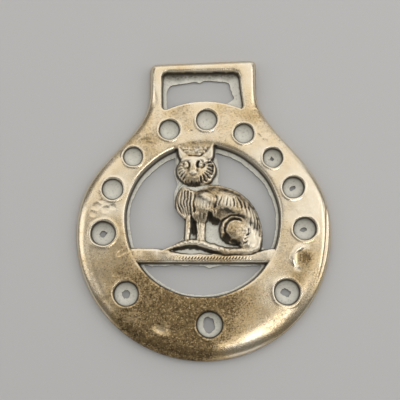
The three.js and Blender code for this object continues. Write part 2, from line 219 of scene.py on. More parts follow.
def window_wall(turn):
    """The window's radius at the face: cast a little out of round."""
    return (window_radius + 0.18 * np.cos(turn - radians(135)) + 0.07 * np.sin(5 * turn)
            + 0.04 * np.sin(13 * turn))


def window_hole():
    """The hole in the window's fin, which is widest at the top."""
    turn = np.linspace(0, 2 * pi, 420, endpoint=False)
    x, y = 20 * np.cos(turn), 20 * np.sin(turn)
    fin = 1.35 + 0.55 * smoothstep(np.sin(turn), 0.2, 1) - 0.25 * smoothstep(-np.sin(turn), 0.1, 1)
    ragged = 0.22 * rough(x, y, 2.1, 91) + 0.16 * rough(x, y, 0.7, 95)
    radius = window_wall(turn) - fin + ragged
    return np.column_stack([window_x + radius * np.cos(turn), window_y + radius * np.sin(turn)])


web_places = [
    (-13.2, -5.7), (-9.5, -4.6), (-6.3, -2.1), (-5.9, -0.5), (-5.3, 2.5), (-5.6, 4.4), (-7.6, 6.6),
    (-8.5, 9.5), (-8.4, 12.3), (-7.5, 14.7), (-8.0, 16.7), (-8.5, 18.9), (-8.1, 21.7), (-8.3, 24.5),
    (-8.9, 27.6), (3.0, 27.6), (3.1, 24.3), (3.9, 21.3), (4.2, 18.3), (4.0, 15.7), (5.0, 14.2),
    (8.5, 13.2), (11.2, 11.7), (13.4, 9.7), (15.2, 6.7), (16.5, 3.3), (17.2, -0.3), (17.3, -4.1),
    (18.5, -6.1), (12.0, -7.6), (0, -7.6), (-10, -7.3)]
web_margin = 0.42


def web_outline(margin):
    """The cat's outline, moved out by a margin that wanders a little."""
    line = spline(web_places, 8, closed=True)
    along = np.roll(line, -1, 0) - np.roll(line, 1, 0)
    along /= np.linalg.norm(along, axis=1, keepdims=True)
    out = np.column_stack([-along[:, 1], along[:, 0]])
    ragged = margin * (1 + 0.3 * rough(line[:, 0], line[:, 1], 1.6, 101))
    return line + out * ragged[:, None]


print("window hole:", len(window_hole()), "places; web:", len(web_outline(web_margin)), "places")

# %% [markdown]
# ## The blank
#
# A founder's pattern starts as a flat board sawn to shape. Here each outline starts as a
# circle whose corners are moved onto the outline. It is filled and extruded to a slab, which
# is what the board is in Blender. Booleans saw the openings out of the plate.

# %% A slab: a circle moved onto an outline, filled and extruded
blank_height = 2.0


def slab(name, places, low, high):
    """A flat board with that outline, between two heights."""
    bpy.ops.object.select_all(action="DESELECT")
    bpy.ops.mesh.primitive_circle_add(vertices=len(places), radius=disc_radius * mm)
    board = bpy.context.object
    board.name = name
    corners = np.column_stack([places[:, 0], places[:, 1] + origin_y, np.full(len(places), low)]) * mm
    board.data.vertices.foreach_set("co", corners.ravel())
    bpy.ops.object.mode_set(mode="EDIT")
    bpy.ops.mesh.select_all(action="SELECT")
    bpy.ops.mesh.edge_face_add()
    bpy.ops.mesh.extrude_region_move(TRANSFORM_OT_translate={"value": (0, 0, (high - low) * mm)})
    bpy.ops.mesh.select_all(action="SELECT")
    bpy.ops.mesh.normals_make_consistent(inside=False)
    bpy.ops.object.mode_set(mode="OBJECT")
    return board


def combine(piece, other, operation):
    """Joins another slab to the piece, or saws it out, and drops the other."""
    cut = piece.modifiers.new(operation.lower(), "BOOLEAN")
    cut.operation, cut.solver, cut.object = operation, "EXACT", other
    bpy.context.view_layer.objects.active = piece
    bpy.ops.object.modifier_apply(modifier=cut.name)
    bpy.data.objects.remove(other)


brass = slab("horse_brass_casting", outline, 0, blank_height)
for hole in (slot_hole(), window_hole()):
    combine(brass, slab("hole", hole, -1, blank_height + 1), "DIFFERENCE")
print("plate with its two big openings:", len(brass.data.polygons), "faces")

# %% The holes that broke through the deepest dimples
dimples = [  # x, y, radius, and the hole's two half sizes and its turn in degrees
    (0.9, 34.3, 3.2, None), (-10.4, 31.2, 3.15, None), (12.1, 30.1, 3.1, None),
    (-21.3, 22.9, 3.0, None), (20.8, 22.6, 3.05, (0.55, 0.6, 0)), (-27.3, 12.9, 3.25, None),
    (26.9, 13.5, 3.35, (1.15, 0.55, 35)), (-29.9, -0.5, 3.75, (1.15, 0.85, 20)),
    (30.1, 0.9, 3.5, (1.0, 0.6, 10)), (-22.9, -18.5, 3.8, (1.15, 1.2, 0)),
    (24.5, -18.0, 3.9, (1.4, 1.15, -20)), (1.7, -27.5, 4.0, (1.8, 2.15, 10))]


def ragged_hole(x, y, wide, tall, turn, seed):
    """A small hole torn through thin metal."""
    a = np.linspace(0, 2 * pi, 48, endpoint=False)
    lobes = 0.2 * noise(2 * np.cos(a), 2 * np.sin(a), 1.0, seed)
    teeth = 0.1 * noise(5 * np.cos(a), 5 * np.sin(a), 1.0, seed)
    reach = 1 + lobes + teeth
    px, py = wide * reach * np.cos(a), tall * reach * np.sin(a)
    t = radians(turn)
    return np.column_stack([x + px * np.cos(t) - py * np.sin(t), y + px * np.sin(t) + py * np.cos(t)])


first_hole_seed = 300
for k, (x, y, size, hole) in enumerate(dimples):
    if hole:
        torn = ragged_hole(x - 0.2, y + 0.1, *hole, first_hole_seed + k)
        combine(brass, slab("hole", torn, -1, blank_height + 1), "DIFFERENCE")
print("plate with its torn dimples:", len(brass.data.polygons), "faces")

# %% The bar and the cat's web
bar_places = [(-24, -5.0), (-19, -4.95), (-14, -5.0), (-10, -5.7), (-6, -6.5), (0, -6.7),
              (6, -6.65), (12, -6.6), (14.5, -6.5), (17, -5.6), (20, -5.1), (23.6, -5.1)]
upper = spline(bar_places, 8)[::-1]
under = np.linspace(-22.5, 23, 160)
sag = 0.35 * rough(under, 0 * under, 1.9, 111) + 0.75 * np.exp(-((under - 1.7) / 1.0) ** 2)
low_edge = np.column_stack([under, bar_low - 0.75 - sag * (np.abs(under) < 19)])
bar = slab("bar", np.vstack([low_edge, upper + [0, 0.35]]), 0, blank_height)
combine(brass, bar, "UNION")
combine(brass, slab("web", web_outline(web_margin)[::-1], 0, blank_height), "UNION")
print("blank:", len(brass.data.polygons), "faces,", [round(v / mm, 1) for v in brass.dimensions], "mm")

# %% [markdown]
# ## Clay
#
# To be carved, the blank needs small faces everywhere. A voxel remesh turns it into even
# squares, like a slab of modelling clay, and closes every seam that the saw left.

# %% Remesh the blank
voxel = 0.14
remesh = brass.modifiers.new("clay", "REMESH")
remesh.mode, remesh.voxel_size, remesh.adaptivity = "VOXEL", voxel * mm, 0
bpy.context.view_layer.objects.active = brass
bpy.ops.object.modifier_apply(modifier="clay")
print("clay:", len(brass.data.polygons), "faces")

# %% [markdown]
# ## The relief
#
# The face of a casting is a relief: over each place it has one height. That height is worked
# out on a fine grid, form by form and stroke by stroke, as an engraver works on a pattern.
# The brushes are a dome for a rounded form, a block for a flat one, a tube for a leg or a tail,
# and a stroke that lays a ridge or cuts a groove; a comb is a row of strokes. They were chosen
# over sculpted forms because a stroke can be moved by changing one number.

# %% The grid, and distances on it
step = 0.1
grid_x = np.arange(-39.5, 39.6, step)
grid_y = np.arange(-39.5, 54.6, step)
X, Y = np.meshgrid(grid_x, grid_y)


def sample(field, x, y, xs=grid_x, ys=grid_y):
    """A grid's value at places between its own, blended from the four round them."""
    size = xs[1] - xs[0]
    fx = np.clip((x - xs[0]) / size, 0, len(xs) - 1.001)
    fy = np.clip((y - ys[0]) / size, 0, len(ys) - 1.001)
    ix, iy = fx.astype(int), fy.astype(int)
    fx, fy = fx - ix, fy - iy
    return ((field[iy, ix] * (1 - fx) + field[iy, ix + 1] * fx) * (1 - fy)
            + (field[iy + 1, ix] * (1 - fx) + field[iy + 1, ix + 1] * fx) * fy)


def blur(field, reach):
    """The mean of the field over a square reach round each place, twice for a soft kernel."""
    k = max(1, int(round(reach / step)))
    for _ in range(2):
        for axis in (0, 1):
            pad = [(k, k) if a == axis else (0, 0) for a in (0, 1)]
            total = np.cumsum(np.insert(np.pad(field, pad, mode="edge"), 0, 0, axis=axis), axis=axis)
            n = total.shape[axis]
            field = (np.take(total, range(2 * k + 1, n), axis=axis)
                     - np.take(total, range(0, n - 2 * k - 1), axis=axis)) / (2 * k + 1)
    return field


def outline_distance(places, x, y):
    """How far each place is inside an outline; negative outside."""
    best, inside = np.full(x.shape, 1e9), np.zeros(x.shape, bool)
    for (ax, ay), (bx, by) in zip(places, np.roll(places, -1, axis=0)):
        dx, dy = bx - ax, by - ay
        t = np.clip(((x - ax) * dx + (y - ay) * dy) / max(dx * dx + dy * dy, 1e-12), 0, 1)
        best = np.minimum(best, (x - ax - t * dx) ** 2 + (y - ay - t * dy) ** 2)
        if dy:
            inside ^= ((ay > y) != (by > y)) & (x < ax + (y - ay) * dx / dy)
    return np.where(inside, 1, -1) * np.sqrt(best)


def inside_distance(places, coarse=0.3):
    """The same for the whole grid, worked out on a coarser one."""
    xs, ys = np.arange(-40, 40.5, coarse), np.arange(-40, 55.5, coarse)
    return sample(outline_distance(places, *np.meshgrid(xs, ys)), X, Y, xs, ys)


from_edge = inside_distance(outline[::2])
from_slot = inside_distance(slot_outline())
from_web = inside_distance(spline(web_places, 5, closed=True))
print("grid:", X.shape, "deepest place is", round(from_edge.max(), 1), "mm from the edge")


# %% Brushes that raise a form: the dome and the block
def near(low, high, margin=0.0):
    """The part of the grid round a box."""
    columns = slice(*np.searchsorted(grid_x, (low[0] - margin, high[0] + margin)))
    rows = slice(*np.searchsorted(grid_y, (low[1] - margin, high[1] + margin)))
    return rows, columns


def oval(at, x, y, wide, tall, turn=0.0):
    """How far out of an oval each place is: 0 in the middle, 1 on the oval."""
    t = radians(turn)
    px, py = X[at] - x, Y[at] - y
    return np.hypot((px * np.cos(t) + py * np.sin(t)) / wide, (-px * np.sin(t) + py * np.cos(t)) / tall)


def dome(height, x, y, wide, tall, turn, top, wall, foot=0.35):
    """Raises an oval form with a steep wall and a round top; the higher form wins."""
    reach = max(wide, tall) + 1
    at = near((x - reach, y - reach), (x + reach, y + reach))
    out = oval(at, x, y, wide, tall, turn)
    cap = wall + (top - wall) * np.sqrt(np.clip(1 - out ** 2, 0, 1))
    side = 1 - smoothstep((out - 1) * np.sqrt(wide * tall), -0.05, foot)
    height[at] = np.maximum(height[at], cap * side)


def block(height, places, top, roll=0.8, drop=0.5, foot=0.3):
    """Raises the area inside an outline to a flat top with rolled edges."""
    line = spline(places, 4, closed=True)
    at = near(line.min(0), line.max(0), 1)
    inside = outline_distance(line, X[at], Y[at])
    cap = top - drop * (1 - np.clip(inside / roll, 0, 1)) ** 2
    height[at] = np.maximum(height[at], cap * smoothstep(inside, -foot, 0.03))


print("a form 4 mm across touches", X[near((-2, -2), (2, 2))].size, "places of the grid")


# %% Brushes that follow a line: the stroke, the tube and the comb
def along(places, reach, steps=6):
    """For the grid near a line: which part, how far from the line, and how far along it."""
    line = spline(places, steps)
    at = near(line.min(0), line.max(0), reach)
    x, y = X[at], Y[at]
    best, share = np.full(x.shape, 1e9), np.zeros(x.shape)
    lengths = np.linalg.norm(np.diff(line, axis=0), axis=1)
    start = np.concatenate([[0], np.cumsum(lengths)])
    for i, length in enumerate(lengths):
        (ax, ay), (dx, dy) = line[i], line[i + 1] - line[i]
        t = np.clip(((x - ax) * dx + (y - ay) * dy) / max(length ** 2, 1e-12), 0, 1)
        distance = (x - ax - t * dx) ** 2 + (y - ay - t * dy) ** 2
        closer = distance < best
        best = np.where(closer, distance, best)
        share = np.where(closer, (start[i] + t * length) / start[-1], share)
    return at, np.sqrt(best), share


def stroke(height, places, width, rise, start=0.15, end=0.15):
    """Lays a rounded ridge along a line, or with a negative rise cuts a groove; both ends taper."""
    at, distance, share = along(places, width)
    taper = smoothstep(share, 0, start) * (1 - smoothstep(share, 1 - end, 1))
    half = width / 2 * (0.35 + 0.65 * taper)
    height[at] += rise * taper * np.clip(1 - (distance / half) ** 2, 0, 1)


def tube(height, places, half_width, top, wall=0.55):
    """Raises a rounded bar along a line; its half width and top are given along it."""
    at, distance, share = along(places, 2.5)
    half, high = half_width(share), top(share)
    cap = high * (wall + (1 - wall) * np.sqrt(np.clip(1 - (distance / half) ** 2, 0, 1)))
    side = 1 - smoothstep(distance - half, -0.03, 0.28)
    height[at] = np.maximum(height[at], cap * side)


def comb(height, first, last, count, width, rise, sway=0.1, **ends):
    """Strokes side by side between two lines, uneven as cut by hand."""
    first, last = np.array(first, float), np.array(last, float)
    for k in range(count):
        line = first + (last - first) * k / (count - 1)
        line = line + sway * np.sin(9.1 * k + np.arange(len(line))[:, None] * [2.3, 1.1])
        uneven = 1 + 0.22 * np.sin(5.7 * k + first[0, 0])
        stroke(height, line, width * uneven, rise * (1 + 0.25 * np.sin(3.3 * k + 1)), **ends)


print("a line through 3 places is drawn as", len(spline([(0, 0), (1, 1), (2, 0)])), "places")

# %% [markdown]
# ## The plate
#
# The rim is a soft pillow, rounded towards its outer edge by years of polishing. It waves
# gently, and it has dents, pits and a lapped crease along the right-hand edge.

# %% The pillow
around = np.degrees(np.arctan2(Y, X))
broad = np.exp(-((around + 58) / 32) ** 2) + 0.5 * np.exp(-((around - 5) / 30) ** 2)
on_hanger = smoothstep(Y, 38, 44)
roll_width = pillow_width * (1 - 0.52 * on_hanger) + 3.0 * broad * (1 - on_hanger)
roll = np.clip(1 - (1 - np.clip(from_edge / roll_width, 0, 1)) ** 2, 0, 1) ** (0.5 + 0.06 * broad)
edge = edge_height + 0.5 * on_hanger
plate = edge + (thickness - 0.12 - edge) * roll
plate += on_hanger * (blur(plate, 0.4) - plate)
plate += 0.18 * noise(X, Y, 13, 3) * smoothstep(from_edge, 0, 5)
plate += 0.06 * noise(X, Y, 5, 5) * smoothstep(from_edge, 0, 4)
plate += 0.018 * noise(X, Y, 2.2, 6) * smoothstep(from_edge, 0, 3)
print("pillow:", round(plate.min(), 2), "to", round(plate.max(), 2), "mm high")


# %% Dents, pocks and creases
def dent(x, y, wide, tall, turn, depth, rim=0.15):
    """A soft knock in the plate, ragged at its edge."""
    at = near((x - wide, y - wide), (x + wide, y + wide), 1.5 * wide)
    out = (oval(at, x, y, wide, tall, turn) + 0.25 * noise(X[at], Y[at], 1.1, 11)
           + 0.08 * noise(X[at], Y[at], 0.5, 12))
    plate[at] += depth * (rim * np.exp(-((out - 1.3) / 0.3) ** 2) - np.exp(-np.clip(out, 0, 9) ** 4))


marks = [  # x, y, half sizes, turn, depth
    (-18.2, 27.4, 2.2, 1.0, 15, .12), (-16.4, 26.8, 1.0, .7, 0, .10), (-20.5, 29, 1.4, .9, 30, .06),
    (29.6, -8.0, 1.5, 1.4, 20, .12), (27.6, -11.2, .9, .6, 0, .12), (-24.2, -6.2, 1.6, .8, 30, .12),
    (-25.7, -12.5, 1.3, 1.0, 0, .07), (-31.8, 7.6, 1.3, 1.0, 20, .10), (-29.3, 6.7, 1.0, .9, 0, .09),
    (-27.2, 7.3, .9, .8, 0, .08), (-33, 5.4, .9, .9, 0, .08), (-30.6, 9.2, .8, .7, 0, .06),
    (-12.6, -28.9, 2.4, 1.2, -20, .22), (-15.6, -30.2, 1.4, .9, 0, .16), (-9.4, -29.4, 1.2, 1.6, 20, .18),
    (14.8, 35.4, 1.4, .9, 20, .09), (16.9, 33.9, .9, .6, 0, .08), (15.6, 37.6, .8, .5, 0, .08),
    (-4.2, 30.7, .7, .35, 10, .08), (13.2, 26.6, 1.0, .6, 0, .09), (16.2, 29.0, 1.0, .8, 0, .08),
    (18.4, 27.4, 1.3, .9, 30, .08), (23.5, 27.5, 1.2, .8, 0, .06), (-28.2, -20, 1.2, 1.0, 0, .08),
    (-21.5, -27.8, 1.5, 1.1, 20, .08)]
for mark in marks:
    dent(*mark)
c_ridge = [(30.4, -4.6), (28.6, -4.6), (27.0, -5.8), (26.4, -7.7), (26.8, -9.6), (27.7, -11.0)]
stroke(plate, c_ridge, 2.5, 0.42, 0.2, 0.35)
crease = [(36.4, 12), (36.7, 4), (36.2, -4), (34.6, -12), (32.2, -18)]
lap = [(35.1, 12), (35.4, 3), (34.8, -6), (33.0, -14), (30, -20)]
stroke(plate, crease, 0.9, -0.15, 0.3, 0.4)
stroke(plate, lap, 1.8, 0.12, 0.3, 0.4)
print("plate with", len(marks), "dents:", round(plate.min(), 2), "to", round(plate.max(), 2), "mm high")

# %% [markdown]
# ## The openings and dimples
#
# The window and the slot were cast with steep walls. Behind them the metal ran thin and left a
# low ragged fin. The dimples are bowls; the deepest of them broke through.

# %% Sink the window, the slot and the dimples
face = plate.copy()
round_window = np.arctan2(Y - window_y, X - window_x)
from_window = window_wall(round_window) - np.hypot(X - window_x, Y - window_y)
fin = fin_height + 0.16 * rough(X, Y, 1.1, 41)


def sink(face, inside, soft_edge):
    """Sinks the face to the fin inside an outline, with a steep wall and a worn upper edge."""
    wall = smoothstep(inside, -0.05, 0.45)
    return np.where(inside > -0.05, (face - soft_edge) * (1 - wall) + fin * wall,
                    face - soft_edge * np.exp(-np.clip(-inside, 0, 9) / 0.5))


face = sink(face, from_window, 0.35)
face = sink(face, from_slot, 0.25)
for k, (x, y, size, hole) in enumerate(dimples):
    at = near((x - size, y - size), (x + size, y + size), 1.5)
    px, py = X[at] - x, Y[at] - y
    a = np.arctan2(py, px)
    out = np.hypot(px, py) / (size * (1 + 0.02 * np.sin(2 * a + k) + 0.015 * np.sin(5 * a + 2 * k)))
    top = plate[at]
    floor = 0.75 if hole else 1.2
    bowl = top - 0.65 - (top - 0.65 - floor) * np.clip(1 - (out / 0.98) ** 2, 0, 1) ** (0.5 if hole else 0.75)
    bowl += 0.05 * rough(px, py, 0.8, 31 + k)
    wall = smoothstep(out, 0.93, 1.03)
    lip = 0.12 * np.exp(-((out - 1.13) / 0.10) ** 2)
    face[at] = np.where(out < 1.03, bowl * (1 - wall) + top * wall, face[at] + lip)
print("the middle of the lowest dimple is", round(float(sample(face, 1.7, -27.5)), 2), "mm high")

# %% [markdown]
# ## The bar
#
# The cat sits on a bar with a row of slanting ticks along its front, like a rope. Its left
# end is broader, as ground in front of the tail.

# %% Raise the bar
bar_line = np.interp(X, *np.array(bar_places).T)
below_top = bar_line + 0.08 * noise(X, 0 * X, 2.2, 61) - Y
above_foot = Y - (bar_low + 0.07 * noise(X, 0 * X + 9, 2.0, 63))
in_bar = np.minimum(below_top, above_foot)
bar_face = 3.15 + 0.2 * smoothstep(np.abs(X), 13, 21) - 0.35 * (1 - smoothstep(in_bar, 0, 0.7))
bar_face = bar_face * smoothstep(in_bar, -0.38, 0.02)
face = np.where((from_window > -0.2) & (in_bar > -0.4), np.maximum(face, bar_face), face)
tick_places = np.arange(-10.0, 15.0, 0.93)
for k, x in enumerate(tick_places):
    fade = smoothstep(k, -1, 7) * smoothstep(len(tick_places) - k, 0, 5)
    stroke(face, [(x - 0.35, -8.55), (x + 0.3, -7.25)], 0.42, -0.22 * fade, 0.2, 0.2)
    at = near((x, -9), (x + 1, -7))
    out = oval(at, x + 0.45, -7.92, 0.32, 0.62, -25)
    face[at] += 0.15 * fade * np.clip(1 - out ** 2, 0, 1)
stroke(face, [(-9, -7.0), (3, -7.1), (13, -7.0)], 0.5, -0.18, 0.3, 0.3)
print("bar:", len(tick_places), "ticks")

# %% [markdown]
# ## The cat
#
# The cat is modelled like any relief: big rounded forms first, each with a steep wall, then
# ears, legs and tail, and last the fur, which is cut in as grooves.

# %% The cat's big forms
without_cat = face.copy()
low_ground = (1.25 + 0.16 * rough(X, Y, 1.1, 51)) * smoothstep(from_web, -0.45, 0.1)
face = np.where(from_web > -0.45, np.maximum(face, low_ground), face)
forms = {  # x, y, half sizes, turn, top, height of the wall
    "neck": (-2.2, 13.4, 5.4, 2.3, 4, 2.6, 1.6),
    "chest": (-5.7, 8.9, 2.7, 5.0, -3, 4.1, 2.3),
    "breast": (-3.5, 9.0, 1.4, 3.6, 0, 3.9, 3.0),
    "torso": (3.2, 8.6, 7.6, 5.0, -14, 3.9, 1.9),
    "shoulder": (0.2, 8.8, 3.5, 3.7, -6, 4.7, 3.2),
    "upper arm": (-0.9, 5.5, 2.7, 3.0, 0, 3.9, 2.7),
    "flank": (7.2, 7.9, 5.9, 4.5, -28, 4.5, 2.4),
    "rump": (13.0, 1.9, 4.2, 8.2, 12, 4.2, 2.4),
    "seat": (13.9, -3.0, 3.4, 3.6, 0, 4.1, 2.2),
    "haunch": (9.0, 0.6, 4.4, 4.2, -18, 4.1, 3.0),
    "thigh": (9.4, 0.7, 2.8, 2.85, -18, 4.6, 4.1),
    "foot": (12.2, -2.3, 2.9, 1.7, -45, 4.3, 3.4),
    "head": (-2.2, 18.7, 5.95, 4.8, 0, 4.0, 2.9),
    "face": (-3.0, 18.9, 4.6, 4.0, 0, 4.5, 2.8),
    "forehead": (-2.8, 21.6, 4.2, 1.5, 0, 4.8, 3.8),
    "nose": (-3.2, 19.6, 1.3, 2.8, 0, 5.05, 4.3),
    "muzzle": (-3.2, 17.8, 1.35, 1.05, 0, 5.15, 4.6),
    "cheeks": (-3.2, 17.0, 2.6, 1.5, 0, 4.7, 3.6),
    "chin": (-2.9, 15.6, 3.1, 1.7, 0, 4.2, 2.4),
}
for form in forms.values():
    dome(face, *form)
print("cat:", len(forms), "forms, the highest", round(face.max(), 2), "mm")

# %% Its back, ears, legs and tail
back_line = [(-2.0, 10.9), (0.4, 12.3), (3.6, 13.2), (6.8, 12.5), (9.7, 11.3), (12.1, 9.4), (14.2, 6.9),
             (15.8, 3.4), (16.4, -0.6)]
tube(face, back_line, lambda s: 1.15 + 0 * s, lambda s: 3.3 + 0 * s, wall=0.75)
block(face, [(-7.9, 25.7), (-7.1, 25.6), (-5.9, 24.2), (-4.4, 22.9), (-6.3, 21.9), (-7.6, 23.0)], 4.0)
block(face, [(1.5, 25.9), (2.9, 26.7), (3.1, 24.4), (2.6, 22.2), (0.9, 21.9), (-0.7, 22.9), (0.5, 24.2)], 4.1)
block(face, [(-7.4, 27.3), (2.0, 27.3), (-0.4, 22.9), (-4.6, 22.9)], 3.35, drop=0.1)
near_leg, far_leg = [(-0.9, 5.4), (-0.9, 2.0), (-0.7, -3.2)], [(-4.5, 5.4), (-4.7, 2.0), (-5.0, -2.9)]
tube(face, near_leg, lambda s: 1.45 - 0.2 * s, lambda s: 3.4 - 0.6 * s, wall=0.75)
tube(face, far_leg, lambda s: 0.9 - 0.1 * s, lambda s: 3.1 - 0.6 * s, wall=0.7)
tail_line = [(16.4, -2.0), (15.6, -4.6), (13.6, -5.6), (11.0, -5.8), (8.2, -5.75), (4.8, -5.35), (1.7, -4.3),
             (-1.6, -3.35), (-5.2, -3.25), (-7.8, -4.0), (-9.6, -4.7), (-12.2, -5.5)]
tube(face, tail_line, lambda s: 1.2 - 0.85 * s ** 4, lambda s: 3.9 - 1.0 * s ** 2, wall=0.6)
print("the tail follows", len(tail_line), "places")


# %% Its eyes, nose and mouth
def arc(x, y, wide, tall, first, last, count=6):
    """Places on part of an oval."""
    return [(x + wide * np.cos(a), y + tall * np.sin(a)) for a in np.radians(np.linspace(first, last, count))]


eyes = [(-5.25, 20.0, 0.75, 0.9), (-1.0, 20.3, 0.8, 0.9)]
for x, y, wide, tall in eyes:
    at = near((x - 2, y - 2), (x + 2, y + 2))
    out = oval(at, x, y, wide, tall)
    face[at] -= 0.38 * np.exp(-((out - 1.3) / 0.22) ** 2)
    face[at] += 0.3 * np.clip(1 - out ** 2, 0, 1) ** 0.7
stroke(face, arc(-5.3, 20.05, 1.0, 1.2, -50, 100), 0.5, -0.55)
stroke(face, arc(-1.0, 20.3, 1.0, 1.15, 100, 235), 0.6, -0.7)
stroke(face, [(0.0, 21.0), (0.2, 20.2), (-0.3, 19.3), (-1.0, 19.0)], 0.6, -0.5)
stroke(face, [(-4.5, 17.9), (-4.2, 17.1), (-3.2, 16.7), (-2.3, 17.1), (-1.95, 17.9)], 0.4, -0.3)
stroke(face, [(-4.9, 19.4), (-4.6, 18.6), (-4.9, 17.7)], 0.4, -0.22)
stroke(face, [(-1.5, 19.4), (-1.8, 18.6), (-1.5, 17.7)], 0.4, -0.22)
print("eyes at", [eye[:2] for eye in eyes])

# %% The locks on its cheeks and chin
left_locks = [((-6.3, 20.1), (-7.7, 20.3)), ((-6.2, 19.3), (-7.8, 19.2)), ((-5.95, 18.7), (-7.6, 18.1)),
              ((-5.6, 18.15), (-7.2, 17.1)), ((-5.15, 17.6), (-6.7, 16.1)), ((-4.6, 17.1), (-5.7, 15.2))]
right_locks = [((-1.6, 16.8), (-0.9, 14.7)), ((-0.9, 17.2), (0.2, 15.1)), ((-0.3, 17.7), (1.2, 15.8)),
               ((0.3, 18.2), (2.1, 16.8)), ((0.6, 18.8), (2.5, 18.0)), ((0.8, 19.5), (2.7, 19.3)),
               ((1.0, 20.3), (2.6, 20.7)), ((1.0, 21.1), (2.3, 21.8))]
for locks, lift in ((left_locks, 0.0), (right_locks, 0.3)):
    for (ax, ay), (bx, by) in zip(locks, locks[1:]):
        gap = [((ax[0] + bx[0]) / 2, (ax[1] + bx[1]) / 2) for ax, bx in ((ax, bx), (ay, by))]
        (x0, y0), (x1, y1) = gap
        bend = ((x0 + x1) / 2 + 0.12 * (y1 - y0), (y0 + y1) / 2 - 0.12 * (x1 - x0) + 0.08)
        stroke(face, [(x0, y0), bend, (x1 + 0.25 * (x1 - x0), y1 + 0.25 * (y1 - y0))], 0.46, -0.6, 0.2, 0.1)
    for (ax, ay), (bx, by) in locks:
        stroke(face, [(ax, ay), ((ax + bx) / 2, (ay + by) / 2 + 0.1), (bx, by)], 0.7, 0.3 + lift, 0.3, 0.25)
stroke(face, [(2.1, 21.9), (3.2, 20.4), (3.4, 18.4), (2.8, 16.6)], 0.6, 0.3, 0.2, 0.2)
stroke(face, [(2.0, 21.0), (2.75, 19.8), (2.8, 18.2), (2.2, 16.7)], 0.45, -0.5, 0.2, 0.2)
comb(face, [(-5.2, 16.0), (-5.5, 14.3)], [(-1.7, 15.8), (-1.4, 13.9)], 6, 0.65, -0.6, start=0.4, end=0.1)
stroke(face, [(-5.6, 15.0), (-4.6, 14.4), (-3.0, 14.2), (-1.4, 14.6)], 1.2, -0.5, 0.2, 0.2)
print("cheeks:", len(left_locks), "locks on the left,", len(right_locks), "on the right")

# %% The fur of the chest, the shoulder, the flank and the back
chest_grooves = [
    [(-7.3, 12.6), (-7.85, 9.2), (-7.3, 7.0), (-6.0, 4.7)],
    [(-6.5, 12.9), (-6.85, 9.4), (-6.5, 7.2), (-5.5, 4.4)],
    [(-5.5, 13.1), (-5.85, 9.5), (-5.6, 7.1), (-4.9, 4.1)],
    [(-4.6, 12.9), (-4.95, 9.4), (-4.8, 6.9), (-4.4, 4.2)],
    [(-3.8, 12.4), (-4.05, 9.3), (-4.0, 7.0), (-3.7, 4.6)],
    [(-2.5, 11.6), (-3.1, 9.4), (-2.9, 7.2), (-2.9, 5.4)]]
for k, line in enumerate(chest_grooves):
    stroke(face, line, 0.66 + 0.12 * (k % 2), -0.62, 0.1, 0.15)
comb(face, [(-1.9, 11.0), (-2.2, 9.0), (-1.9, 6.6)], [(2.8, 11.4), (2.9, 9.2), (2.2, 6.6)], 6, 0.4, -0.22,
     start=0.3, end=0.1)
comb(face, [(-2.6, 7.2), (-2.9, 5.2), (-2.1, 2.6)], [(1.6, 7.0), (1.5, 5.2), (0.5, 2.4)], 7, 0.38, -0.32, 0.2,
     start=0.4, end=0.4)
stroke(face, [(3.0, 11.8), (3.8, 10.0), (3.7, 8.2), (2.9, 6.8)], 0.7, -0.55, 0.25, 0.1)
comb(face, [(5.8, 11.4), (5.0, 9.8), (4.3, 7.4)], [(10.4, 10.9), (11.9, 8.9), (12.3, 6.2)], 8, 0.55,
     -0.55, 0.12, start=0.4, end=0.2)
comb(face, [(6.0, 10.9), (5.4, 9.2), (5.0, 7.4)], [(10.2, 10.4), (11.4, 8.4), (11.8, 6.4)], 7, 0.3,
     -0.18, 0.2)
rump_grooves = [
    [(11.6, 9.2), (12.7, 6.6), (12.9, 4.2), (12.6, 2.6)],
    [(12.6, 8.8), (13.8, 6.2), (14.1, 3.4), (13.6, 0.4)],
    [(13.8, 7.8), (15.0, 4.8), (15.1, 1.6), (14.4, -1.8)],
    [(15.0, 6.4), (16.0, 3.2), (15.9, 0.0), (15.2, -3.0)],
    [(13.0, 1.4), (13.3, -0.2), (13.0, -1.4)],
    [(16.6, 3.0), (16.8, 0.4), (16.3, -2.4)]]
for line in rump_grooves:
    stroke(face, line, 0.55, -0.5, 0.25, 0.3)
comb(face, [(12.1, 9.0), (13.3, 6.4), (13.5, 3.4)], [(15.7, 4.8), (16.4, 1.8), (16.0, -1.4)], 4, 0.32,
     -0.22, 0.12)
back_edge = [(-2.6, 11.0), (-0.6, 12.3), (1.7, 13.2), (3.8, 13.6), (7.0, 12.9), (10.0, 11.8), (12.6, 9.9),
             (15.0, 7.4), (16.7, 3.6), (17.2, -0.6)]
stroke(face, back_edge, 1.7, -0.55, 0.05, 0.1)
print("fur:", len(chest_grooves), "grooves on the chest,", len(rump_grooves), "on the rump")

